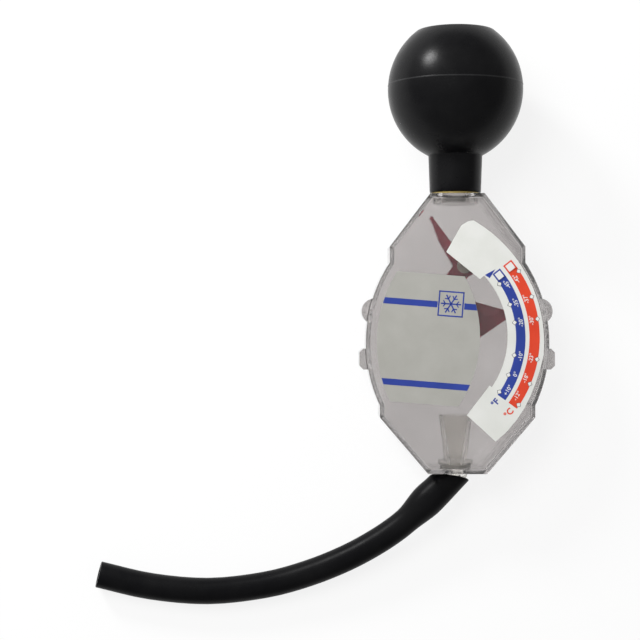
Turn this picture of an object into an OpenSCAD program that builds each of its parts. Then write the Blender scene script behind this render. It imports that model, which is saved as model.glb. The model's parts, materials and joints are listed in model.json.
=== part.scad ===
// Antifreeze tester: squeezing the bulb draws coolant up the hose into a flat clear chamber,
// where a pivoted float with a brass weight points at a freezing point on a curved scale.
// Lengths are in millimetres. Each piece is drawn in the chamber's own axes: X across the face,
// Y up towards the bulb, Z out of the face. It is then laid on its back, resting on the bulb
// and on the lower edge of the chamber's back.

/* [Chamber] */
// Height of the chamber between its flat ends
chamber_h = 105; // [95:1:115]
// Width across the bellied sides
chamber_w = 68.5; // [66:0.5:72]
// Radius of the bellied sides in plan
belly_r = 55; // [50:1:65]
// Height of the widest point, measured from the middle
belly_y = -3.5; // [-6:0.5:0]
// Width of the flat top end
top_flat_w = 20.2; // [18:0.2:23]
// Width across the upper shoulders
shoulder_w = 50.6; // [46:0.2:53]
// Height of the upper shoulders, measured from the middle
shoulder_y = 32.5; // [30:0.5:35]
// Width of the flat bottom end
bottom_flat_w = 22; // [19:0.5:26]
// Width across the lower shoulders
hip_w = 58; // [53:0.2:59]
// Depth of the lower shoulders, measured down from the middle
hip_y = 31.4; // [29:0.2:34]
// Depth of one half shell
shell_depth = 12; // [11:0.5:14]
// Thickness of the shell walls
wall = 2; // [1.6:0.1:2.6]
// Bevel round the front and back faces
bevel = 2; // [1:0.25:2.5]

/* [Side lugs] */
// Radius of the round upper lugs
round_lug_r = 4.8; // [4.2:0.1:5.2]
// Height of the round lugs, measured from the middle
round_lug_y = 8.3; // [7:0.1:11]
// How far the round lugs stand out of the sides
round_lug_out = 2.8; // [2:0.1:3.2]
// Height of the square lower lugs
square_lug_h = 7.8; // [6:0.2:10]
// Depth of the middle of the square lugs, measured down from the middle
square_lug_y = 9.6; // [8:0.2:12]
// How far the square lugs stand out of the sides
square_lug_out = 2.7; // [1.8:0.1:3.2]
// Corner cut on the square lugs
square_lug_cut = 1.4; // [0.6:0.1:1.6]
// How far the lugs run back from the joint between the shells
lug_depth = 8; // [6:0.5:9.5]
// Diameter of the dowels that locate the shells
dowel_d = 2.4; // [2:0.1:2.6]
// Length of the dowels
dowel_l = 4; // [3:0.25:5]

/* [Bulb] */
// Largest diameter of the bulb
bulb_d = 51.2; // [46:0.2:56]
// Radius of the bulb's side in profile
bulb_side_r = 28; // [26.5:0.5:32]
// Height of the bulb's middle above the chamber
bulb_rise = 40; // [38:0.5:46]
// Height of the flat top above the bulb's middle
bulb_top = 22.3; // [20:0.1:23]
// Rounding of the edge of the flat top
bulb_edge_r = 1.5; // [0.8:0.1:2]
// Wall of the bulb
bulb_wall = 2.5; // [2:0.1:3]
// Height of the moulding seam round the bulb
seam_h = 0.3; // [0.2:0.05:0.5]
// Outer diameter of the neck at the chamber
neck_d = 19.4; // [18.6:0.2:20]
// Lean of the neck's side, which widens towards the bulb
neck_lean = 2; // [0:0.25:3]
// Thickness of the adhesive bead under the neck
bead_t = 0.7; // [0.4:0.1:1.2]

/* [Bulb spigot] */
// Outer diameter of the spigot in the neck
spigot_d = 15; // [13:0.2:16]
// Bore of the spigot
spigot_bore = 11; // [8:0.5:12]
// Height of the spigot above the chamber
spigot_l = 13; // [10:0.5:14.5]
// Diameter of the spigot's flange inside the chamber
spigot_flange_d = 17; // [16.4:0.1:17.6]
// Thickness of the flanges inside the chamber
flange_t = 1.5; // [1:0.1:2]

/* [Inlet nozzle] */
// Diameter of the nozzle's elbow outside the chamber
elbow_d = 9.2; // [8.8:0.1:9.4]
// How far the elbow's middle lies below the chamber
elbow_drop = 0.2; // [0.1:0.1:0.8]
// Turn of the outer spigot away from straight down
elbow_turn = 45; // [35:1:50]
// Length of the outer spigot from the elbow's middle
nozzle_l = 18; // [15:0.5:19]
// Diameter of the outer spigot at the elbow
nozzle_root_d = 8.4; // [7.6:0.1:8.6]
// Diameter of the outer spigot at its tip
nozzle_tip_d = 7.4; // [6.4:0.1:7.6]
// Diameter of the nozzle where it passes through the chamber's bottom
nozzle_waist_d = 8.6; // [8:0.1:9]
// Bore of the nozzle
nozzle_bore = 4; // [3:0.1:4.4]
// Diameter of the nozzle's flange inside the chamber
nozzle_flange_d = 13; // [12:0.5:15]
// Height of the funnel-shaped standpipe above the flange
standpipe_h = 17; // [12:0.5:19]
// Outer diameter of the standpipe's rim
standpipe_rim_d = 12.6; // [11:0.2:14]
// Wall of the standpipe
standpipe_wall = 1.4; // [1:0.1:1.8]
// Outer diameter of the rubber seal under the flange
seal_d = 11.4; // [10.6:0.2:12]
// Thickness of the seal
seal_t = 1; // [0.6:0.1:1.4]

/* [Float] */
// Distance of the pivot from the middle, across the face
pivot_x = -15; // [-16:0.5:-13]
// Height of the pivot, measured from the middle
pivot_y = -1; // [-2:0.5:1]
// Thickness of the float
float_t = 4; // [3:0.25:5]
// Diameter of the float's hub
hub_d = 9; // [7:0.5:11]
// Distance of the pointer's tip from the pivot
pointer_reach = 38.6; // [36:0.2:41]
// Direction of the pointer's tip from the pivot
pointer_dir = 13; // [10:0.5:14]
// Direction in which the pointer's own axis points
pointer_axis = 9.5; // [6:0.5:14]
// Angle between the pointer's two edges
pointer_spread = 50; // [40:1:54]
// Length of the pointer's edges
pointer_edge = 24.5; // [20:0.5:27]
// Distance of the weight from the pivot
weight_reach = 32.3; // [31:0.1:33.5]
// Direction of the weight from the pivot
weight_dir = 55.5; // [54:0.5:57]
// Diameter of the brass weight
weight_d = 5.8; // [5:0.1:6.4]
// Length of the brass weight
weight_l = 5; // [4:0.25:6]
// Width of the ring that holds the weight
weight_ring = 1.5; // [1.2:0.1:2]
// Width of the arm that carries the ring
arm_w = 7; // [4:0.25:8]
// Distance of the tail's tip from the pivot
tail_reach = 45; // [42:0.2:45.4]
// Direction of the tail's tip from the pivot
tail_dir = 82.5; // [78:0.5:83]
// Diameter of the pivot pin
pin_d = 2; // [1.6:0.1:2.4]
// Length of the pivot pin
pin_l = 18; // [14:0.5:18.5]
// Diameter of the bosses that hold the pin
boss_d = 6.4; // [5:0.2:8]

/* [Labels] */
// Thickness of the labels
label_t = 0.3; // [0.2:0.05:0.5]
// Radius of the inner edge of the scale label, about the pivot
scale_inner_r = 33.4; // [32:0.2:35]
// Gap between the scale label and the bevel on the right
scale_margin = 0.3; // [0.2:0.1:1.5]
// Width of the clear window between the labels, level with the pivot
window_w = 10.3; // [8:0.1:14]
// Gap between the plain label and the bevel on the left
plate_margin = 2; // [1:0.25:5]
// Height of the plain label
plate_h = 48.5; // [44:0.5:52]
// Lean of the plain label
plate_lean = -4.5; // [-6:0.5:0]
// Radius of the plain label's right edge
plate_right_r = 46; // [40:1:60]

/* [Hose] */
// Outer diameter of the hose
hose_d = 10; // [9:0.1:10.4]
// Bore of the hose
hose_bore = 6; // [4.5:0.1:6.6]
// Outer diameter where the nozzle stretches the hose
hose_swell_d = 12.4; // [11.8:0.1:13]
// Bore where the nozzle stretches the hose
hose_swell_bore = 9.2; // [9:0.1:9.4]
// Bore at the mouth, where the hose meets the elbow
hose_mouth_bore = 10; // [9.8:0.1:10.4]
// Lean of the cut at the mouth, across the table
mouth_lean = 36; // [25:1:38]
// Lean of the cut at the mouth, upwards
mouth_rise = 15; // [0:1:18]

/* [Fits] */
// Gap all round a piece that is pressed in
press_gap = 0.02; // [0.01:0.01:0.05]
// Gap all round the pin in the float's hub
run_gap = 0.08; // [0.03:0.01:0.1]
// Gap all round a tube in the shells and a dowel in its socket
slip_gap = 0.1; // [0.05:0.01:0.15]
// Gap between the float and the bosses beside it
side_gap = 0.4; // [0.3:0.05:0.8]
// Spare depth at the bottom of a blind hole
end_gap = 0.25; // [0.1:0.05:0.4]

/* [Hidden] */
$fn = 96;

// How far a cut runs past the face that it opens
past = 1;

// Chamber in plan
top_y = chamber_h / 2;
belly_x = belly_r - chamber_w / 2;
top_end = [top_flat_w / 2, shoulder_w / 2, shoulder_y, belly_y];
bottom_end = [bottom_flat_w / 2, hip_w / 2, hip_y, -belly_y];

// Half width of the bellied side at a height
function belly_half(y) = sqrt(belly_r ^ 2 - (y - belly_y) ^ 2) - belly_x;

round_lug_x = belly_half(round_lug_y) + round_lug_out - round_lug_r;
square_lug_reach = belly_half(-square_lug_y) + square_lug_out;
dowel_x = belly_half(round_lug_y) + (round_lug_out - wall) / 2;

// Bulb
bulb_r = bulb_d / 2;
bulb_y = top_y + bulb_rise;
bulb_side_x = bulb_side_r - bulb_r;
bulb_edge_y = bulb_top - bulb_edge_r;
bulb_edge_x = sqrt((bulb_side_r - bulb_edge_r) ^ 2 - bulb_edge_y ^ 2) - bulb_side_x;

// Pose at rest: the bulb's seam and the lower edge of the back both touch the table
rest_run = bulb_y + top_y - bevel;
rest_step = bulb_r - shell_depth;
tilt = atan2(rest_step, rest_run) + asin(seam_h / sqrt(rest_run ^ 2 + rest_step ^ 2));
lift = (top_y - bevel) * sin(tilt) + shell_depth * cos(tilt);

// Middle of the length on the table, from the bulb's top edge to the nozzle's tip
tip_slope = cos(elbow_turn) * cos(tilt);
high_end = (bulb_y + bulb_edge_y) * cos(tilt) + bulb_edge_x * sin(tilt) + bulb_edge_r;
low_end = -(top_y + elbow_drop) * cos(tilt) - nozzle_l * tip_slope
    - nozzle_tip_d / 2 * sqrt(1 - tip_slope ^ 2);
mid_length = (high_end + low_end) / 2;

// Float, about its pivot, with the corners of its flat pieces sunk into the rounds that they join
function polar(r, a) = [r * cos(a), r * sin(a)];
corner_sink = 0.2;
boss_z = float_t / 2 + side_gap;
pointer_tip = polar(pointer_reach, pointer_dir);
upper_barb = pointer_tip + polar(pointer_edge, 180 + pointer_axis - pointer_spread / 2);
lower_barb = pointer_tip + polar(pointer_edge, 180 + pointer_axis + pointer_spread / 2);
weight_at = polar(weight_reach, weight_dir);
ring_r = weight_d / 2 + press_gap + weight_ring;
tail_tip = polar(tail_reach, tail_dir);
tail_tip_r = 0.7;
tail_tip_left = tail_dir + 110;
tail_tip_right = tail_dir - 20;
tail_root_right = 28;
tail_root_left = 183;
tail_bulge_right = [0.8, 0.3];
tail_bulge_left = [-3.3, 0];

// Labels: each corner of the scale is a direction from the pivot and a distance beyond the inner edge
window_top = 42.5;
window_bottom = -34.5;
beyond = chamber_w / 2;
top_tab = [[window_top, -2], [71.4, -0.3], [68.6, 10.9], [66.5, 13.2], [63, 15.2]];
rim = [[45, beyond], [0, beyond], [-8, 13.9], [-16, 13.7], [-22, 13.7], [-28, 14], [-34, 14.4]];
bottom_tab = [[-40, 14.7], [-47, 15.1], [-53.6, 15.3], [-58.2, 1.2], [window_bottom, -1]];
plate_right = pivot_x + scale_inner_r - window_w;
plate_y = -1.7;

// Hose: points of its middle line on the table, from the mouth to the free end
hose_route = [
    [-1.9, -78.3, 11.5], [-12.7, -89.1, 10.5], [-20.2, -96.1, 9.2], [-29.5, -102.6, 8],
    [-41.5, -109.1, 6.7], [-56, -114.9, 5.6], [-72.5, -119.3, 5], [-94, -121.6, 5],
    [-116, -119.8, 5], [-136, -115.3, 5],
];
hose_sides = 12;
swell_rings = 2;

// Laying a piece down at rest
module at_rest() {
    translate([0, -mid_length, lift]) rotate([tilt, 0, 0]) children();
}

// Corners of one end of the chamber in plan, set in by d, with the end towards +Y
function end_corners(end, d) =
    let (
        slope = atan2(end[1] - end[0], top_y - end[2]),
        flat_x = end[0] - d * tan((90 - slope) / 2),
        side_x = end[1] - d,
        side_y = end[2] - d * tan(slope / 2)
    )
    [
        [-flat_x, top_y - d], [flat_x, top_y - d], [side_x, side_y],
        [side_x, end[3]], [-side_x, end[3]], [-side_x, side_y],
    ];

// Chamber's outline in plan, set in by d
module chamber_plan(d) {
    intersection() {
        translate([-belly_x, belly_y]) circle(r = belly_r - d);
        translate([belly_x, belly_y]) circle(r = belly_r - d);
        translate([-chamber_w / 2, -hip_y]) square([chamber_w, hip_y + shoulder_y]);
    }
    polygon(end_corners(top_end, d));
    mirror([0, 1]) polygon(end_corners(bottom_end, d));
}

// Bevelled edge of one end
module end_bevel(end) {
    low = [for (p = end_corners(end, 0)) [p.x, p.y, 0]];
    high = [for (p = end_corners(end, bevel)) [p.x, p.y, bevel]];
    n = len(low);
    sides = [for (i = [0:n - 1]) let (j = (i + 1) % n) [j + n, i + n, i, j]];
    polyhedron(
        points = concat(low, high),
        faces = concat([[for (i = [n - 1:-1:0]) i], [for (i = [0:n - 1]) i + n]], sides)
    );
}

// Outside of one half of the chamber, from the joint face to the bevelled face
module half_block() {
    linear_extrude(shell_depth - bevel) chamber_plan(0);
    translate([0, 0, shell_depth - bevel]) {
        intersection() {
            translate([-belly_x, belly_y]) cylinder(h = bevel, r1 = belly_r, r2 = belly_r - bevel);
            translate([belly_x, belly_y]) cylinder(h = bevel, r1 = belly_r, r2 = belly_r - bevel);
            translate([-chamber_w / 2, -hip_y]) cube([chamber_w, hip_y + shoulder_y, bevel]);
        }
        end_bevel(top_end);
        mirror([0, 1, 0]) end_bevel(bottom_end);
    }
}

// Lugs on both sides, running back from the joint face
module half_lugs() {
    c = square_lug_cut;
    h = square_lug_h / 2;
    for (flip = [0, 1]) mirror([flip, 0, 0]) {
        translate([round_lug_x, round_lug_y]) cylinder(h = lug_depth, r = round_lug_r);
        translate([0, -square_lug_y]) linear_extrude(lug_depth) polygon([
            [belly_half(-square_lug_y) - wall, -h], [square_lug_reach - c, -h],
            [square_lug_reach, c - h], [square_lug_reach, h - c],
            [square_lug_reach - c, h], [belly_half(-square_lug_y) - wall, h],
        ]);
    }
}

// One half of the chamber with its pin boss and the half bores at its ends
module half_shell() {
    difference() {
        union() {
            difference() {
                union() {
                    half_block();
                    half_lugs();
                }
                translate([0, 0, -past]) linear_extrude(shell_depth - wall + past) chamber_plan(wall);
            }
            translate([pivot_x, pivot_y, boss_z]) cylinder(h = shell_depth - wall / 2 - boss_z, d = boss_d);
        }
        translate([pivot_x, pivot_y, -past])
            cylinder(h = pin_l / 2 + end_gap + past, r = pin_d / 2 + press_gap);
        translate([0, top_y - wall - past, 0]) rotate([-90, 0, 0])
            cylinder(h = wall + 2 * past, r = spigot_d / 2 + slip_gap);
        translate([0, -top_y - past, 0]) rotate([-90, 0, 0])
            cylinder(h = wall + 2 * past, r = nozzle_waist_d / 2 + slip_gap);
    }
}

module front_shell() {
    color("gainsboro", 0.4) at_rest() difference() {
        half_shell();
        for (side = [-1, 1]) translate([side * dowel_x, round_lug_y, -past])
            cylinder(h = dowel_l + end_gap + past, r = dowel_d / 2 + slip_gap);
    }
}

module rear_shell() {
    color("gainsboro", 0.4) at_rest() {
        mirror([0, 0, 1]) half_shell();
        for (side = [-1, 1]) translate([side * dowel_x, round_lug_y, -lug_depth / 2])
            cylinder(h = dowel_l + lug_depth / 2, d = dowel_d);
    }
}

module bulb_spigot() {
    flange_y = top_y - wall - flange_t;
    length = flange_t + wall + spigot_l;
    color("whitesmoke", 0.5) at_rest() translate([0, flange_y, 0]) rotate([-90, 0, 0]) difference() {
        union() {
            cylinder(h = length, d = spigot_d);
            cylinder(h = flange_t, d = spigot_flange_d);
        }
        translate([0, 0, -past]) cylinder(h = length + 2 * past, d = spigot_bore);
    }
}

// Nozzle with its flange and standpipe inside, and its elbow and hose spigot outside
module inlet_nozzle() {
    flange_y = -top_y + wall + seal_t;
    rim_y = flange_y + flange_t + standpipe_h;
    elbow_y = -top_y - elbow_drop;
    color("whitesmoke", 0.5) at_rest() difference() {
        union() {
            intersection() {
                translate([0, elbow_y, 0]) {
                    sphere(d = elbow_d);
                    rotate([-90, 0, 0]) cylinder(h = elbow_drop, d = elbow_d);
                    rotate([90, 0, -elbow_turn])
                        cylinder(h = nozzle_l, d1 = nozzle_root_d, d2 = nozzle_tip_d);
                }
                translate([-nozzle_l, -top_y - 2 * nozzle_l, -elbow_d])
                    cube([2 * nozzle_l, 2 * nozzle_l, 2 * elbow_d]);
            }
            translate([0, -top_y, 0]) rotate([-90, 0, 0])
                cylinder(h = wall + seal_t + flange_t, d = nozzle_waist_d);
            translate([0, flange_y, 0]) rotate([-90, 0, 0]) cylinder(h = flange_t, d = nozzle_flange_d);
            translate([0, flange_y + flange_t, 0]) rotate([-90, 0, 0])
                cylinder(h = standpipe_h, d1 = nozzle_waist_d, d2 = standpipe_rim_d);
        }
        translate([0, elbow_y, 0]) {
            sphere(d = nozzle_bore);
            rotate([90, 0, -elbow_turn]) cylinder(h = nozzle_l + past, d = nozzle_bore);
            rotate([-90, 0, 0]) cylinder(h = rim_y - elbow_y + past, d = nozzle_bore);
        }
        translate([0, flange_y + flange_t, 0]) rotate([-90, 0, 0])
            cylinder(h = standpipe_h, d1 = nozzle_bore, d2 = standpipe_rim_d - 2 * standpipe_wall);
    }
}

module inlet_seal() {
    color("whitesmoke", 0.6) at_rest() translate([0, -top_y + wall, 0]) rotate([-90, 0, 0]) difference() {
        cylinder(h = seal_t, d = seal_d);
        translate([0, 0, -past]) cylinder(h = seal_t + 2 * past, r = nozzle_waist_d / 2 + press_gap);
    }
}

// Profile of the bulb set in by d, about the bulb's middle, without its neck
module bulb_profile(d) {
    intersection() {
        translate([-bulb_side_x, 0]) circle(r = bulb_side_r - d);
        translate([0, -bulb_side_r]) square([bulb_r, bulb_side_r + bulb_top - d]);
    }
}

// Corner that the rounding takes off the edge of the flat top
module bulb_corner() {
    reach = bulb_edge_r * 3;
    difference() {
        polygon([
            [bulb_edge_x, bulb_edge_y], [bulb_edge_x, bulb_edge_y + reach],
            [bulb_edge_x + reach, bulb_edge_y + reach],
            [bulb_edge_x + reach, bulb_edge_y + reach * bulb_edge_y / (bulb_edge_x + bulb_side_x)],
        ]);
        translate([bulb_edge_x, bulb_edge_y]) circle(r = bulb_edge_r);
    }
}

module bulb() {
    neck_l = bulb_rise - bead_t;
    neck_bore_r = spigot_d / 2 + press_gap;
    color("dimgray") at_rest() translate([0, bulb_y, 0]) rotate([-90, 0, 0])
        rotate_extrude() difference() {
            union() {
                difference() {
                    bulb_profile(0);
                    bulb_corner();
                }
                polygon([
                    [0, -neck_l], [neck_d / 2, -neck_l], [neck_d / 2 + neck_l * tan(neck_lean), 0], [0, 0],
                ]);
                translate([bulb_r, 0]) circle(r = seam_h);
            }
            bulb_profile(bulb_wall);
            translate([0, -neck_l - past]) square([neck_bore_r, neck_l + past]);
        }
}

module bulb_adhesive() {
    color("goldenrod") at_rest() translate([0, top_y, 0]) rotate([-90, 0, 0]) difference() {
        cylinder(h = bead_t, d = neck_d - bead_t);
        translate([0, 0, -past]) cylinder(h = bead_t + 2 * past, r = spigot_d / 2 + press_gap);
    }
}

// Float about its pivot: hub, arrow-shaped pointer, arm, ring for the weight and tail
module float_plate() {
    cylinder(h = float_t, d = hub_d);
    linear_extrude(float_t) polygon([
        polar(hub_d / 2 - corner_sink, pointer_axis + 90), upper_barb, pointer_tip, lower_barb,
        polar(hub_d / 2 - corner_sink, pointer_axis - 90),
    ]);
    linear_extrude(float_t) polygon([
        polar(arm_w / 2, weight_dir + 90), polar(arm_w / 2, weight_dir - 90),
        weight_at + polar(arm_w / 2, weight_dir - 90), weight_at + polar(arm_w / 2, weight_dir + 90),
    ]);
    translate(weight_at) cylinder(h = float_t, r = ring_r);
    linear_extrude(float_t) polygon([
        tail_tip + polar(tail_tip_r - corner_sink, tail_tip_left),
        tail_tip + polar(tail_tip_r - corner_sink, tail_tip_right),
        (tail_tip + weight_at) / 2 + tail_bulge_right,
        weight_at + polar(ring_r - corner_sink, tail_root_right),
        weight_at + polar(ring_r - corner_sink, tail_root_left),
        (tail_tip + weight_at) / 2 + tail_bulge_left,
    ]);
    translate(tail_tip) cylinder(h = float_t, r = tail_tip_r);
}

module float() {
    color("maroon") at_rest() translate([pivot_x, pivot_y, -float_t / 2]) difference() {
        float_plate();
        translate([0, 0, -past]) {
            cylinder(h = float_t + 2 * past, r = pin_d / 2 + run_gap);
            translate(weight_at) cylinder(h = float_t + 2 * past, r = weight_d / 2 + press_gap);
        }
    }
}

module counterweight() {
    color("darkgoldenrod") at_rest() translate([pivot_x, pivot_y, -weight_l / 2])
        translate(weight_at) cylinder(h = weight_l, d = weight_d);
}

module pivot_pin() {
    color("silver") at_rest() translate([pivot_x, pivot_y, -pin_l / 2]) cylinder(h = pin_l, d = pin_d);
}

// Scale label in plan, about the pivot: a curved strip with a tab at each end
module scale_plan() {
    far_r = scale_inner_r + beyond;
    difference() {
        intersection() {
            translate([-belly_x - pivot_x, belly_y - pivot_y]) circle(r = belly_r - bevel - scale_margin);
            polygon([for (c = concat(top_tab, rim, bottom_tab)) polar(scale_inner_r + c[1], c[0])]);
        }
        intersection() {
            circle(r = scale_inner_r);
            polygon([[0, 0], polar(far_r, window_bottom), polar(far_r, window_top)]);
        }
    }
}

module scale_label() {
    color("white") at_rest() translate([pivot_x, pivot_y, shell_depth]) linear_extrude(label_t) scale_plan();
}

// Plain label: its left edge follows the belly, its right edge bows towards the window
module plain_label() {
    color("darkgray") at_rest() translate([0, 0, shell_depth]) linear_extrude(label_t) intersection() {
        translate([belly_x, belly_y]) circle(r = belly_r - bevel - plate_margin);
        translate([plate_right - plate_right_r, pivot_y]) circle(r = plate_right_r);
        translate([pivot_x, plate_y]) rotate(plate_lean) square([chamber_w, plate_h], center = true);
    }
}

// Direction of the hose at point i of its route
function hose_dir(i) =
    let (
        a = hose_route[max(i - 1, 0)],
        b = hose_route[min(i + 1, len(hose_route) - 1)]
    )
    (b - a) / norm(b - a);

// Points round the hose at point i, with the first ring leaning along the hose
function hose_ring(i, r) =
    let (
        dir = hose_dir(i),
        side = cross(dir, [0, 0, 1]) / norm(cross(dir, [0, 0, 1])),
        up = cross(side, dir),
        lean = i == 0 ? [tan(mouth_lean), -tan(mouth_rise)] : [0, 0]
    )
    [
        for (k = [0:hose_sides - 1])
            let (a = 360 * k / hose_sides)
            hose_route[i] + r * (cos(a) * (side + lean[0] * dir) + sin(a) * (up + lean[1] * dir))
    ];

// Radii of the hose at point i: wide at the mouth and over the nozzle, plain beyond it
function hose_outer(i) = (i < swell_rings ? hose_swell_d : hose_d) / 2;
function hose_inner(i) = (i == 0 ? hose_mouth_bore : i < swell_rings ? hose_swell_bore : hose_bore) / 2;

module hose() {
    n = len(hose_route);
    m = hose_sides;
    inside = n * m;
    outer = [for (i = [0:n - 1]) each hose_ring(i, hose_outer(i))];
    inner = [for (i = [0:n - 1]) each hose_ring(i, hose_inner(i))];
    skin = [
        for (i = [0:n - 2], k = [0:m - 1])
            let (a = i * m + k, b = i * m + (k + 1) % m)
            each [[b, b + m, a + m], [b, a + m, a]]
    ];
    bore = [for (f = skin) [f[2], f[1], f[0]] + [inside, inside, inside]];
    mouth = [
        for (k = [0:m - 1])
            let (a = k, b = (k + 1) % m)
            each [[b, a, a + inside], [b, a + inside, b + inside]]
    ];
    far_rim = [for (f = mouth) [f[2], f[1], f[0]] + (n - 1) * [m, m, m]];
    color([0.12, 0.12, 0.13]) polyhedron(
        points = concat(outer, inner), faces = concat(skin, bore, mouth, far_rim)
    );
}

front_shell();
rear_shell();
bulb_spigot();
inlet_nozzle();
inlet_seal();
bulb();
bulb_adhesive();
float();
counterweight();
pivot_pin();
scale_label();
plain_label();
hose();
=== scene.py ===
"""An antifreeze tester lying on a white table: clear chamber, rubber bulb, float, labels and suction hose."""
import json
import math

import bmesh
import bpy
from mathutils import Matrix, Vector


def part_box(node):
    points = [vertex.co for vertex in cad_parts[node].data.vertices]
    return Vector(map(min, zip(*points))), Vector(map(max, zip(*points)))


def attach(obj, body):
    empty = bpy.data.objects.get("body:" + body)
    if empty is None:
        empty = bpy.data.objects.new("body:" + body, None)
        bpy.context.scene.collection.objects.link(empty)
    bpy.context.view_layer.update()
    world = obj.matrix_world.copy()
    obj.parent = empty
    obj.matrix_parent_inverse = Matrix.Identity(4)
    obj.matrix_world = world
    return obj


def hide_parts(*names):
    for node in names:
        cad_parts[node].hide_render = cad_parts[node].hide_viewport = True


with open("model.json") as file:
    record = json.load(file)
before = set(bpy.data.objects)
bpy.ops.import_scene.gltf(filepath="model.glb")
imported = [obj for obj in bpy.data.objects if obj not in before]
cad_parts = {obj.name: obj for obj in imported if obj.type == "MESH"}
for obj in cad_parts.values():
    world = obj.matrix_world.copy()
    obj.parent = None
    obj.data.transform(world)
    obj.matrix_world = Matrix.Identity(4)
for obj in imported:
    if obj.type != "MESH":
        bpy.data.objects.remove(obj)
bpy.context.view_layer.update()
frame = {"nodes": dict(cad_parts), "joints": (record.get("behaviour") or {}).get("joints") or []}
nodes = frame["nodes"]

# Lengths are in millimetres and angles in degrees, unless a comment gives another unit
MM = 0.001

# The chamber's own axes, about the float's pivot: X across the face, Y towards the bulb, Z out of the face
hinge = frame["joints"][0]
PIVOT = Vector(hinge["pos_m"])
FACE_Z = Vector(hinge["axis"]).normalized()
FACE_X = Vector((1, 0, 0))
FACE_Y = FACE_Z.cross(FACE_X)
FACE = Matrix((FACE_X, FACE_Y, FACE_Z)).transposed()

# Camera: straight onto the face, over a point to the left of the chamber
CAMERA_OVER = (-36.4, 6.05)
CAMERA_RISE = 570
VIEW_HALF_WIDTH = 121.6

# Hose: the points of its middle line on the table, from the mouth on the nozzle to the free end
HOSE_ROUTE = [
    (-1.9, -78.3, 11.5), (-12.7, -89.1, 10.5), (-20.2, -96.1, 9.2), (-29.5, -102.6, 8),
    (-41.5, -109.1, 6.7), (-56, -114.9, 5.6), (-72.5, -119.3, 5), (-94, -121.6, 5),
    (-116, -119.8, 5), (-136, -115.3, 5),
]
HOSE_R = 5
HOSE_BORE_R = 3
# Its radii at the mouth and over the nozzle, and from where to where along it the swelling goes down
MOUTH_R = 5.9
SWELL_R = 6.3
SWELL_BORE_R = 4.6
SWELL_ENDS = (12, 24)
# Lean of the cut at the mouth, across the table and upwards, and of the cut at the free end,
# and how far from each cut its lean fades out
MOUTH_LEAN = 36
MOUTH_RISE = 15
MOUTH_FADE = 14
END_LEAN = 10
END_FADE = 8
# Rounding of its two rims, and directions of the points round them
MOUTH_RIM = 0.7
END_RIM = 0.25
RIM_TURNS = (90, 60, 30)
# Steps from point to point of the route, steps along the outside and the bore, and points round it
ROUTE_STEPS = 4
HOSE_STEPS = 70
BORE_STEPS = 30
HOSE_SIDES = 48

# Bulb: its outline about its middle, with the top at +Y
BULB_SIDE_R = 28
BULB_TOP = 22.3
BULB_EDGE_R = 1.5
BULB_WALL = 2.5
HOLLOW_LOW = -24
NECK_R = 9.7
NECK_BORE_R = 7.52
NECK_LEAN = 2
NECK_BLEND = 0.5
NECK_CHAMFER = 0.4
# Height of the solid's seam, and the place, height and half width of the fine line that shows instead
CAD_SEAM_H = 0.3
SEAM_AT = 1.6
SEAM_H = 0.1
SEAM_HALF = 0.25
# Rows of points up its outline, as lowest height, step and number, where the neck's row starts at its end
NECK_ROW = (2, 5)
BEND_ROW = (-28, 0.25, 24)
BALL_ROW = (-22, 0.8, 54)
# Gap below the rounded edge of the top, number of steps round it, length of a step down the hollow,
# and number of points round the bulb
EDGE_GAP = 0.2
EDGE_STEPS = 6
HOLLOW_STEP = 2
BULB_SIDES = 96
# Distance within which two of its points become one
MERGE = 0.01

# Scale: the centre of its arcs, and distances and directions from there
SCALE_CENTRE = Vector((0.4, -0.6))
BLUE_BAND = (36.1, 39.6)
RED_BAND = (41.1, 44.9)
BAND_DIRS = (-35.9, 36)
BAND_STEPS = 48
# Directions of its marks, and how far round from its mark each number stands
MARK_DIRS = (33.8, 20.1, 9.1, -10.3, -22.5, -33.9)
NUMBER_SHIFTS = (-2.4, 0, -0.2, 0.2, 1.9, 3.4)
RED_NUMBERS = ("-42°", "-37°", "-30°", "-23°", "-18°", "-12°")
BLUE_NUMBERS = ("-45°", "-35°", "-20°", "-10°", "0°", "+10°")
RED_NUMBERS_R = 42.4
BLUE_NUMBERS_R = 38.4
# Letters: their size and the thickening of their strokes as a share of it, the distances and directions
# of the units, and steps in their curves
NUMBER_SIZE = 2.1
NUMBER_WEIGHT = 0.012
CELSIUS_AT = (43.6, -39.9)
FAHRENHEIT_AT = (37.3, -40.4)
UNIT_SIZE = 3.3
UNIT_WEIGHT = 0.028
LETTER_STEPS = 3
# Diamond marks along both bands, and the hollow squares at their upper ends
MARK_RADII = (36, 44.6)
MARK_HALF = (0.8, 0.85)
MARK_RIM = 0.2
FRAME_DIR = 37.9
FRAME_LONG = 3.8
FRAME_LINE = 0.55
# Triangle beside the blue square, about the pivot: its tip, its other corners, and the tip's bluntness
POINTER_TRIANGLE = [(28.8, 24.9), (24.9, 22.8), (26.7, 21.6)]
POINTER_BLUNT = 0.1

# Plain label: lean of its bars, their heights above the pivot and thickness
BAR_LEAN = -4.5
BAR_HEIGHTS = (12.45, -17.7)
BAR_THICK = 2.3
BAR_STEPS = 4
# Framed snow crystal on the upper bar, with twigs given as shares of its arms and lines
SIGN_AT = (12.3, 12)
SIGN_WIDE = 10
FLAKE_ARM = 3.8
FLAKE_LINE = 0.5
TWIG_START = 0.55
TWIG_LENGTH = 0.36
TWIG_LINE = 0.8
TWIG_TURN = 55

# Print: how far it is let into its label and stands out of it
PRINT_SINK = 0.05
PRINT_STEP = 0.03

# Table: half its width and how far it lies under the part, in metres, and how much of it glows white
TABLE_HALF = 40
TABLE_DROP = 0.0002
TABLE_GLOW = 0.85

# Range that a noise pattern fills for the most part
NOISE_RANGE = (0.3, 0.7)


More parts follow.
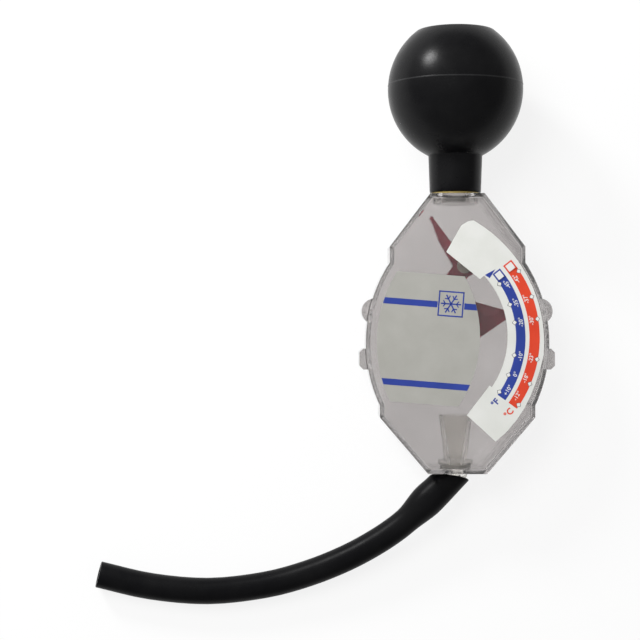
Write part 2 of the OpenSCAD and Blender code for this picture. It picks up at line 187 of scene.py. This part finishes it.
def on_face(x, y, z):
    """A point of the chamber's axes, about the pivot, in metres in the part's frame."""
    return PIVOT + FACE @ Vector((x, y, z)) * MM


def polar(r, degrees):
    a = math.radians(degrees)
    return Vector((r * math.cos(a), r * math.sin(a)))


def slope(degrees):
    return math.tan(math.radians(degrees))


def row(low, step, count):
    """So many numbers, a step apart, from the lowest up."""
    return [low + step * k for k in range(count)]


def face_points(node):
    """The points of a node in the chamber's axes, about the pivot."""
    return [FACE.transposed() @ (v.co - PIVOT) / MM for v in nodes[node].data.vertices]


def face_top(node):
    """Height of a node's highest point above the pivot, out of the face."""
    return max(p.z for p in face_points(node))


def new_piece(name, bm, material, smooth=False):
    """A mesh piece from bm, in the part's frame, that rides on the case."""
    bmesh.ops.recalc_face_normals(bm, faces=bm.faces)
    mesh = bpy.data.meshes.new(name)
    bm.to_mesh(mesh)
    bm.free()
    mesh.materials.append(material)
    for polygon in mesh.polygons:
        polygon.use_smooth = smooth
    piece = bpy.data.objects.new(name, mesh)
    bpy.context.scene.collection.objects.link(piece)
    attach(piece, "case")
    return piece


# Materials

def new_material(name):
    material = bpy.data.materials.new(name)
    material.use_nodes = True
    tree = material.node_tree
    return material, tree, tree.nodes["Principled BSDF"]


def noise(tree, scale, detail, stretch=None):
    """A noise pattern in the part's frame, with so many waves a metre."""
    coords = tree.nodes.new("ShaderNodeTexCoord")
    pattern = tree.nodes.new("ShaderNodeTexNoise")
    pattern.inputs["Scale"].default_value = scale
    pattern.inputs["Detail"].default_value = detail
    source = coords.outputs["Object"]
    if stretch:
        mapping = tree.nodes.new("ShaderNodeMapping")
        mapping.inputs["Scale"].default_value = stretch
        tree.links.new(source, mapping.inputs["Vector"])
        source = mapping.outputs["Vector"]
    tree.links.new(source, pattern.inputs["Vector"])
    return pattern.outputs["Fac"]


def vary(tree, socket, pattern, low, high):
    """Drive a number from low to high by a pattern."""
    span = tree.nodes.new("ShaderNodeMapRange")
    span.inputs["From Min"].default_value = NOISE_RANGE[0]
    span.inputs["From Max"].default_value = NOISE_RANGE[1]
    span.inputs["To Min"].default_value = low
    span.inputs["To Max"].default_value = high
    tree.links.new(pattern, span.inputs["Value"])
    tree.links.new(span.outputs["Result"], socket)


def tint(tree, socket, pattern, low, high):
    """Drive a colour from low to high by a pattern."""
    ramp = tree.nodes.new("ShaderNodeValToRGB")
    for element, position, colour in zip(ramp.color_ramp.elements, NOISE_RANGE, (low, high)):
        element.position = position
        element.color = (*colour, 1)
    tree.links.new(pattern, ramp.inputs["Fac"])
    tree.links.new(ramp.outputs["Color"], socket)


def roughen(tree, bsdf, pattern, depth, strength):
    """Raise the surface by a pattern, so many metres high."""
    bump = tree.nodes.new("ShaderNodeBump")
    bump.inputs["Distance"].default_value = depth
    bump.inputs["Strength"].default_value = strength
    tree.links.new(pattern, bump.inputs["Height"])
    tree.links.new(bump.outputs["Normal"], bsdf.inputs["Normal"])


def rubber(name, low, high, gloss, sheen, grain):
    """Black rubber with a bloom, a dull sheen and a fine skin."""
    material, tree, bsdf = new_material(name)
    tint(tree, bsdf.inputs["Base Color"], noise(tree, scale=90, detail=6), low, high)
    vary(tree, bsdf.inputs["Roughness"], noise(tree, scale=220, detail=4), *gloss)
    roughen(tree, bsdf, noise(tree, scale=grain, detail=4), depth=0.00004, strength=0.5)
    bsdf.inputs["Specular IOR Level"].default_value = sheen
    return material


def clear_plastic(name, low, high, gloss, clarity):
    """Clear moulded plastic, a little grey, with flow marks and scuffs."""
    material, tree, bsdf = new_material(name)
    tint(tree, bsdf.inputs["Base Color"], noise(tree, scale=35, detail=3), low, high)
    vary(tree, bsdf.inputs["Roughness"], noise(tree, scale=160, detail=6), *gloss)
    flow = noise(tree, scale=60, detail=2, stretch=(1, 0.4, 1))
    roughen(tree, bsdf, flow, depth=0.00008, strength=0.35)
    bsdf.inputs["Transmission Weight"].default_value = clarity
    bsdf.inputs["IOR"].default_value = 1.49
    return material


def vinyl(name, low, high, gloss):
    """Printed vinyl film with a faint mottle and orange peel."""
    material, tree, bsdf = new_material(name)
    tint(tree, bsdf.inputs["Base Color"], noise(tree, scale=120, detail=5), low, high)
    vary(tree, bsdf.inputs["Roughness"], noise(tree, scale=400, detail=3), *gloss)
    roughen(tree, bsdf, noise(tree, scale=700, detail=2), depth=0.00001, strength=0.4)
    return material


def metal(name, low, high, gloss, stretch):
    """Turned metal, dulled, with fine tool marks."""
    material, tree, bsdf = new_material(name)
    tint(tree, bsdf.inputs["Base Color"], noise(tree, scale=300, detail=4), low, high)
    vary(tree, bsdf.inputs["Roughness"], noise(tree, scale=500, detail=4), *gloss)
    marks = noise(tree, scale=900, detail=2, stretch=stretch)
    roughen(tree, bsdf, marks, depth=0.00001, strength=0.5)
    bsdf.inputs["Metallic"].default_value = 1
    return material


shell_plastic = clear_plastic("clear_styrene", (0.71, 0.69, 0.685), (0.78, 0.76, 0.755), (0.03, 0.1), 0.96)
nozzle_plastic = clear_plastic("frosted_nozzle", (0.93, 0.92, 0.89), (0.97, 0.96, 0.93), (0.14, 0.24), 0.97)
spigot_plastic = clear_plastic("clear_spigot", (0.82, 0.81, 0.79), (0.88, 0.87, 0.85), (0.06, 0.14), 0.95)
bulb_rubber = rubber("bulb_rubber", (0.004, 0.004, 0.0046), (0.0075, 0.0075, 0.008), (0.26, 0.32), 0.12, 900)
# Lighter rubber for the mould line's faces: a painted highlight where the raised line catches the light
painted_seam_highlight = rubber("painted_seam_highlight", (0.01, 0.01, 0.011), (0.024, 0.024, 0.025), (0.32, 0.42), 0.2, 900)
hose_rubber = rubber("hose_rubber", (0.004, 0.004, 0.0047), (0.0075, 0.0075, 0.008), (0.32, 0.42), 0.06, 1200)
seal_rubber = clear_plastic("seal_rubber", (0.86, 0.85, 0.81), (0.92, 0.91, 0.87), (0.3, 0.4), 0.85)
float_plastic = clear_plastic("maroon_plastic", (0.38, 0.045, 0.075), (0.48, 0.065, 0.1), (0.22, 0.32), 0.1)
adhesive = clear_plastic("amber_adhesive", (0.27, 0.2, 0.05), (0.42, 0.31, 0.08), (0.2, 0.35), 0.2)
brass = metal("dull_brass", (0.84, 0.77, 0.64), (0.95, 0.88, 0.75), (0.28, 0.42), (1, 1, 6))
steel = metal("ground_steel", (0.5, 0.5, 0.5), (0.62, 0.62, 0.62), (0.2, 0.32), (1, 1, 8))
white_vinyl = vinyl("white_vinyl", (0.70, 0.71, 0.67), (0.76, 0.765, 0.735), (0.32, 0.42))
grey_vinyl = vinyl("grey_vinyl", (0.375, 0.37, 0.34), (0.415, 0.41, 0.38), (0.34, 0.44))
blue_ink = vinyl("blue_ink", (0.022, 0.046, 0.27), (0.03, 0.058, 0.33), (0.34, 0.44))
red_ink = vinyl("red_ink", (0.66, 0.048, 0.018), (0.75, 0.066, 0.026), (0.34, 0.44))
white_ink = vinyl("white_ink", (0.72, 0.725, 0.70), (0.8, 0.8, 0.78), (0.34, 0.44))
black_ink = vinyl("black_ink", (0.012, 0.012, 0.014), (0.02, 0.02, 0.022), (0.34, 0.44))

for node, material in {
    "front_shell": shell_plastic, "rear_shell": shell_plastic, "bulb_spigot": spigot_plastic,
    "inlet_nozzle": nozzle_plastic, "inlet_seal": seal_rubber, "bulb": bulb_rubber,
    "bulb_adhesive": adhesive, "float": float_plastic, "counterweight": brass, "pivot_pin": steel,
    "scale_label": white_vinyl, "plain_label": grey_vinyl, "hose": hose_rubber,
}.items():
    nodes[node].data.materials.clear()
    nodes[node].data.materials.append(material)


# Camera

def make_camera():
    camera = bpy.data.objects.new("camera", bpy.data.cameras.new("camera"))
    camera.data.angle = 2 * math.atan(VIEW_HALF_WIDTH / CAMERA_RISE)
    camera.data.clip_start = 0.01
    camera.matrix_world = Matrix.Translation(on_face(*CAMERA_OVER, CAMERA_RISE)) @ FACE.to_4x4()
    bpy.context.scene.collection.objects.link(camera)
    bpy.context.scene.camera = camera


# Hose

def smooth_path(points, steps):
    """A smooth curve through the points, with so many steps between two of them."""
    ends = [2 * points[0] - points[1], *points, 2 * points[-1] - points[-2]]
    path = []
    for a, b, c, d in zip(ends, ends[1:], ends[2:], ends[3:]):
        for k in range(steps):
            t = k / steps
            path.append(0.5 * (2 * b + (c - a) * t + (2 * a - 5 * b + 4 * c - d) * t ** 2
                               + (3 * b - a - 3 * c + d) * t ** 3))
    return [*path, points[-1]]


def ease(x, low, high):
    """From 0 at low to 1 at high, smoothly."""
    t = min(1, max(0, (x - low) / (high - low)))
    return t * t * (3 - 2 * t)


def join_rings(bm, rings):
    """Skin rings of points in order, and the last one to the first."""
    for ring, following in zip(rings, [*rings[1:], rings[0]]):
        for k in range(len(ring)):
            j = (k + 1) % len(ring)
            bm.faces.new((ring[k], ring[j], following[j], following[k]))


def make_hose():
    path = smooth_path([Vector(p) for p in HOSE_ROUTE], ROUTE_STEPS)
    runs = [0]
    for a, b in zip(path, path[1:]):
        runs.append(runs[-1] + (b - a).length)
    length = runs[-1]

    def along(s):
        """Point and direction of the middle line at a distance from the mouth."""
        last = len(path) - 1
        i = max((k for k in range(last) if runs[k] <= s), default=0)
        t = (s - runs[i]) / (runs[i + 1] - runs[i])
        before = path[max(i, 1)] - path[max(i, 1) - 1]
        here = path[i + 1] - path[i]
        after = path[min(i + 2, last)] - path[min(i + 1, last - 1)]
        start = before.normalized() + here.normalized()
        end = here.normalized() + after.normalized()
        return path[i].lerp(path[i + 1], t), start.lerp(end, t).normalized()

    def outer(s):
        swell = MOUTH_R + (SWELL_R - MOUTH_R) * ease(s, 0, SWELL_ENDS[0])
        return swell + (HOSE_R - swell) * ease(s, *SWELL_ENDS)

    def inner(s):
        return SWELL_BORE_R + (HOSE_BORE_R - SWELL_BORE_R) * ease(s, *SWELL_ENDS)

    def rounded(rim, s, way, r):
        """Points round a rim at a distance from the mouth, from its flat to its side."""
        turns = (math.radians(a) for a in RIM_TURNS)
        return [(s + way * rim * (1 - math.sin(a)), r - rim * (1 - math.cos(a))) for a in turns]

    plain = length - MOUTH_RIM - END_RIM
    profile = rounded(MOUTH_RIM, 0, 1, outer(0))
    for k in range(HOSE_STEPS + 1):
        s = MOUTH_RIM + plain * k / HOSE_STEPS
        profile.append((s, outer(s)))
    profile += reversed(rounded(END_RIM, length, -1, HOSE_R))
    profile.append((length, HOSE_BORE_R))
    for k in range(1, BORE_STEPS + 1):
        s = length - length * k / BORE_STEPS
        profile.append((s, inner(s)))

    bm = bmesh.new()
    rings = []
    for s, r in profile:
        middle, ahead = along(s)
        side = ahead.cross(Vector((0, 0, 1))).normalized()
        up = side.cross(ahead)
        near_mouth = 1 - ease(s, 0, MOUTH_FADE)
        near_end = ease(s, length - END_FADE, length)
        leaning_side = side + near_mouth * slope(MOUTH_LEAN) * ahead
        leaning_up = up - (near_mouth * slope(MOUTH_RISE) + near_end * slope(END_LEAN)) * ahead
        ring = []
        for k in range(HOSE_SIDES):
            a = 2 * math.pi * k / HOSE_SIDES
            out = math.cos(a) * leaning_side + math.sin(a) * leaning_up
            ring.append(bm.verts.new((middle + r * out) * MM))
        rings.append(ring)
    join_rings(bm, rings)
    hose = new_piece("suction_hose", bm, hose_rubber, smooth=True)
    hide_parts("hose")


# Bulb

def make_bulb():
    """The bulb turned from its outline, with the fine raised line of its mould round the middle, whose faces
    are painted lighter as a highlight.
    """
    points = face_points("bulb")
    left, right = min(p.x for p in points), max(p.x for p in points)
    middle = Vector(((left + right) / 2, max(p.y for p in points) - BULB_TOP))
    neck_end = min(p.y for p in points) - middle.y
    inset = BULB_SIDE_R - ((right - left) / 2 - CAD_SEAM_H)

    def side(y, r):
        """Half width of the ball at a height, inside or out."""
        return math.sqrt(max(0, r ** 2 - y ** 2)) - inset

    def outer(y):
        """Half width of the ball and neck at a height, with the mould line."""
        ball = side(y, BULB_SIDE_R)
        neck = NECK_R + (y - neck_end) * slope(NECK_LEAN)
        blend = max(0, NECK_BLEND - abs(ball - neck)) ** 2 / (4 * NECK_BLEND)
        return max(ball, neck) + blend + SEAM_H * max(0, 1 - abs(y - SEAM_AT) / SEAM_HALF)

    edge_y = BULB_TOP - BULB_EDGE_R
    edge_x = side(edge_y, BULB_SIDE_R - BULB_EDGE_R)
    edge_start = math.atan2(edge_y, edge_x + inset)
    heights = row(neck_end + NECK_CHAMFER, *NECK_ROW) + row(*BEND_ROW) + row(*BALL_ROW)
    heights += [SEAM_AT - SEAM_HALF, SEAM_AT, SEAM_AT + SEAM_HALF]
    heights = sorted(y for y in heights if y < BULB_SIDE_R * math.sin(edge_start) - EDGE_GAP)
    profile = [(neck_end, NECK_BORE_R), (neck_end, NECK_R - NECK_CHAMFER)]
    profile += [(y, outer(y)) for y in heights]
    for k in range(EDGE_STEPS + 1):
        a = edge_start + (math.pi / 2 - edge_start) * k / EDGE_STEPS
        profile.append((edge_y + BULB_EDGE_R * math.sin(a), edge_x + BULB_EDGE_R * math.cos(a)))
    profile += [(BULB_TOP, 0), (BULB_TOP - BULB_WALL, 0)]
    for y in range(int(BULB_TOP - BULB_WALL), HOLLOW_LOW, -HOLLOW_STEP):
        profile.append((y, side(y, BULB_SIDE_R - BULB_WALL)))
    profile.append((HOLLOW_LOW, NECK_BORE_R))

    bm = bmesh.new()
    rings = []
    for y, r in profile:
        ring = []
        for k in range(BULB_SIDES):
            a = 2 * math.pi * k / BULB_SIDES
            ring.append(bm.verts.new(on_face(middle.x + r * math.cos(a), middle.y + y, r * math.sin(a))))
        rings.append(ring)
    join_rings(bm, rings)
    bmesh.ops.remove_doubles(bm, verts=bm.verts, dist=MERGE * MM)
    bulb = new_piece("squeeze_bulb", bm, bulb_rubber, smooth=True)
    # The faces of the mould line take the lighter rubber, a painted highlight along the ridge
    bulb.data.materials.append(painted_seam_highlight)
    for polygon in bulb.data.polygons:
        height = (polygon.center - PIVOT).dot(FACE_Y) / MM - middle.y
        polygon.material_index = int(abs(height - SEAM_AT) < SEAM_HALF)
    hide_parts("bulb")


# Print

def ribbon(bm, row_a, row_b, base, top):
    """Add a thin flat strip between two rows of points on the face."""
    def lift(row, z):
        return [bm.verts.new(on_face(p.x, p.y, z)) for p in row]

    low_a, low_b = lift(row_a, base), lift(row_b, base)
    high_a, high_b = lift(row_a, top), lift(row_b, top)
    last = len(row_a) - 1
    for i in range(last):
        bm.faces.new((high_a[i], high_b[i], high_b[i + 1], high_a[i + 1]))
        bm.faces.new((low_a[i + 1], low_b[i + 1], low_b[i], low_a[i]))
        bm.faces.new((low_a[i], high_a[i], high_a[i + 1], low_a[i + 1]))
        bm.faces.new((low_b[i + 1], high_b[i + 1], high_b[i], low_b[i]))
    bm.faces.new((low_a[0], low_b[0], high_b[0], high_a[0]))
    bm.faces.new((high_a[last], high_b[last], low_b[last], low_a[last]))


def scale_at(r, degrees):
    """A point of the scale, so far from the centre of its arcs."""
    return SCALE_CENTRE + polar(r, degrees)


def band(bm, radii, base, top):
    """Add a curved band of the scale between two radii."""
    start, end = BAND_DIRS
    sweep = [start + (end - start) * k / BAND_STEPS for k in range(BAND_STEPS + 1)]
    inner, outer = ([scale_at(r, a) for a in sweep] for r in radii)
    ribbon(bm, inner, outer, base, top)


def block(bm, centre, width, height, turn, base, top):
    """Add a flat rectangle on the face, turned by so many degrees."""
    across = polar(width / 2, turn)
    up = polar(height / 2, turn + 90)
    lower = [centre - across - up, centre + across - up]
    upper = [centre - across + up, centre + across + up]
    ribbon(bm, lower, upper, base, top)


def lettering(bm, items, size, weight, base, top):
    """Add short texts on the face, each given as its text, centre and turn."""
    for text, centre, turn in items:
        curve = bpy.data.curves.new("lettering", "FONT")
        curve.body = text
        curve.size = size
        curve.align_x = "CENTER"
        curve.align_y = "CENTER"
        curve.resolution_u = LETTER_STEPS
        curve.extrude = (top - base) / 2
        curve.offset = weight * size
        writer = bpy.data.objects.new("lettering", curve)
        bpy.context.scene.collection.objects.link(writer)
        shape = bpy.data.meshes.new_from_object(writer.evaluated_get(bpy.context.evaluated_depsgraph_get()))
        middle = Vector((centre.x, centre.y, (base + top) / 2))
        place = Matrix.Translation(middle) @ Matrix.Rotation(math.radians(turn), 4, "Z")
        for v in shape.vertices:
            v.co = on_face(*(place @ v.co))
        bm.from_mesh(shape)
        bpy.data.objects.remove(writer)
        bpy.data.curves.remove(curve)
        bpy.data.meshes.remove(shape)


def edge_span(node, start, turn):
    """How far the line through a point, turned by so many degrees, runs inside a label's top face."""
    top = face_top(node)
    points = face_points(node)
    along, across = polar(1, turn), polar(1, turn + 90)
    hits = []
    for edge in nodes[node].data.edges:
        a, b = (points[i] for i in edge.vertices)
        if min(a.z, b.z) < top - PRINT_STEP:
            continue
        side_a, side_b = (across.dot(q.xy - start) for q in (a, b))
        if side_a * side_b < 0:
            hits.append(along.dot(a.xy.lerp(b.xy, side_a / (side_a - side_b)) - start))
    return min(hits), max(hits)


def bar(bm, node, height, gap, base, top):
    """Add a bar right across a label, with a gap in it from one distance to another."""
    rows = ([], [], [], [])
    for k in range(BAR_STEPS + 1):
        start = Vector((0, height)) + polar(BAR_THICK * (k / BAR_STEPS - 0.5), BAR_LEAN + 90)
        left, right = edge_span(node, start, BAR_LEAN)
        for row, s in zip(rows, (left + PRINT_SINK, gap[0], gap[1], right - PRINT_SINK)):
            row.append(start + polar(s, BAR_LEAN))
    ribbon(bm, rows[0], rows[1], base, top)
    ribbon(bm, rows[2], rows[3], base, top)


def rhombus(bm, centre, half, turn, base, top):
    """Add a diamond on the face with its first diagonal turned by so many degrees."""
    out, side = polar(half[0], turn), polar(half[1], turn + 90)
    ribbon(bm, [centre - out, centre + side], [centre - side, centre + out], base, top)


def make_plain_label():
    """The grey label's two bars, and the framed snow crystal on the upper one."""
    label = face_top("plain_label")
    low = label - PRINT_SINK
    ink = label + PRINT_STEP
    sign = Vector(SIGN_AT)
    bars = bmesh.new()
    bar(bars, "plain_label", BAR_HEIGHTS[0], (sign.x - SIGN_WIDE / 2, sign.x + SIGN_WIDE / 2), low, ink)
    bar(bars, "plain_label", BAR_HEIGHTS[1], (0, 0), low, ink)
    new_piece("label_bars", bars, blue_ink)
    flake = bmesh.new()
    for k in range(6):
        turn = BAR_LEAN + 60 * k
        tip = polar(FLAKE_ARM, turn)
        block(flake, sign + tip / 2, FLAKE_ARM, FLAKE_LINE, turn, low, ink)
        for side in (-1, 1):
            twig_turn = turn + side * TWIG_TURN
            twig = polar(FLAKE_ARM * TWIG_LENGTH, twig_turn)
            start = sign + tip * TWIG_START
            block(flake, start + twig / 2, twig.length, FLAKE_LINE * TWIG_LINE, twig_turn, low, ink)
    for k in range(4):
        turn = BAR_LEAN + 90 * k
        edge = sign + polar(SIGN_WIDE / 2 - FLAKE_LINE, turn + 90)
        block(flake, edge, SIGN_WIDE - FLAKE_LINE, FLAKE_LINE, turn, low, ink)
    new_piece("snow_sign", flake, blue_ink)


def make_scale():
    """The white label's two bands, with their numbers, marks, squares and units."""
    label = face_top("scale_label")
    low = label - PRINT_SINK
    ink = label + PRINT_STEP
    over = label + 2 * PRINT_STEP
    for name, radii, unit, unit_at, material in (
        ("blue_print", BLUE_BAND, "°F", FAHRENHEIT_AT, blue_ink),
        ("red_print", RED_BAND, "°C", CELSIUS_AT, red_ink),
    ):
        bm = bmesh.new()
        band(bm, radii, low, ink)
        block(bm, scale_at(sum(radii) / 2, FRAME_DIR), radii[1] - radii[0], FRAME_LONG, FRAME_DIR, low, ink)
        lettering(bm, [(unit, scale_at(*unit_at), unit_at[1] + 90)], UNIT_SIZE, UNIT_WEIGHT, low, ink)
        if name == "blue_print":
            tip, inner, outer = (Vector(p) for p in POINTER_TRIANGLE)
            ribbon(bm, [inner, tip], [outer, tip.lerp(outer, POINTER_BLUNT)], low, ink)
        new_piece(name, bm, material)
    numbers = bmesh.new()
    for texts, r in ((BLUE_NUMBERS, BLUE_NUMBERS_R), (RED_NUMBERS, RED_NUMBERS_R)):
        lettering(numbers, [
            (text, scale_at(r, mark + shift), mark + shift + 90)
            for text, mark, shift in zip(texts, MARK_DIRS, NUMBER_SHIFTS)
        ], NUMBER_SIZE, NUMBER_WEIGHT, ink, over)
    new_piece("scale_numbers", numbers, white_ink)
    rims = bmesh.new()
    marks = bmesh.new()
    rim_half = [h + MARK_RIM for h in MARK_HALF]
    for r in MARK_RADII:
        for mark in MARK_DIRS:
            rhombus(rims, scale_at(r, mark), rim_half, mark, low, over)
            rhombus(marks, scale_at(r, mark), MARK_HALF, mark, low, over + PRINT_STEP)
    for radii in (BLUE_BAND, RED_BAND):
        wide = radii[1] - radii[0] - 2 * FRAME_LINE
        inside = FRAME_LONG - 2 * FRAME_LINE
        block(marks, scale_at(sum(radii) / 2, FRAME_DIR), wide, inside, FRAME_DIR, low, over)
    new_piece("mark_rims", rims, black_ink)
    new_piece("marks", marks, white_ink)


# Light and table

def area_light(name, aim, direction, distance, size, power):
    """A round lamp in a direction from what it is aimed at, with lengths in metres."""
    lamp = bpy.data.objects.new(name, bpy.data.lights.new(name, "AREA"))
    lamp.data.shape = "DISK"
    lamp.data.size = size
    lamp.data.energy = power
    lamp.location = aim + Vector(direction).normalized() * distance
    lamp.rotation_euler = (aim - lamp.location).to_track_quat("-Z", "Y").to_euler()
    bpy.context.scene.collection.objects.link(lamp)
    return lamp


def make_table():
    """A table that shows white to the camera, in reflections and through plastic, and keeps a soft shadow."""
    bm = bmesh.new()
    bmesh.ops.create_grid(bm, x_segments=1, y_segments=1, size=TABLE_HALF)
    mesh = bpy.data.meshes.new("table")
    bm.to_mesh(mesh)
    bm.free()
    table = bpy.data.objects.new("table", mesh)
    table.location.z = -TABLE_DROP
    bpy.context.scene.collection.objects.link(table)
    material, tree, bsdf = new_material("white_table")
    bsdf.inputs["Base Color"].default_value = (0.9, 0.9, 0.9, 1)
    bsdf.inputs["Roughness"].default_value = 0.8
    bsdf.inputs["Specular IOR Level"].default_value = 0.1
    glow = tree.nodes.new("ShaderNodeEmission")
    rays = tree.nodes.new("ShaderNodeLightPath")
    seen = rays.outputs["Is Camera Ray"]
    for kind in ("Is Transmission Ray", "Is Glossy Ray"):
        either = tree.nodes.new("ShaderNodeMath")
        either.operation = "ADD"
        either.use_clamp = True
        tree.links.new(seen, either.inputs[0])
        tree.links.new(rays.outputs[kind], either.inputs[1])
        seen = either.outputs["Value"]
    share = tree.nodes.new("ShaderNodeMath")
    share.operation = "MULTIPLY"
    share.inputs[1].default_value = TABLE_GLOW
    tree.links.new(seen, share.inputs[0])
    mix = tree.nodes.new("ShaderNodeMixShader")
    tree.links.new(share.outputs["Value"], mix.inputs["Fac"])
    tree.links.new(bsdf.outputs["BSDF"], mix.inputs[1])
    tree.links.new(glow.outputs["Emission"], mix.inputs[2])
    tree.links.new(mix.outputs["Shader"], tree.nodes["Material Output"].inputs["Surface"])
    mesh.materials.append(material)


def make_light():
    """A soft white room and two lamps on the left."""
    scene = bpy.context.scene
    scene.view_settings.view_transform = "Standard"
    world = bpy.data.worlds.new("studio")
    scene.world = world
    world.use_nodes = True
    background = world.node_tree.nodes["Background"]
    background.inputs["Color"].default_value = (1, 1, 1, 1)
    background.inputs["Strength"].default_value = 0.3
    bulb = (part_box("bulb")[0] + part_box("bulb")[1]) / 2
    key = area_light("key", PIVOT, (-0.38, 0.32, 0.87), distance=0.9, size=0.5, power=5)
    key.visible_glossy = False
    area_light("window", bulb, (-0.63, 0.62, 0.46), distance=0.9, size=0.22, power=7)


make_camera()
make_hose()
make_bulb()
make_scale()
make_plain_label()
make_light()
make_table()
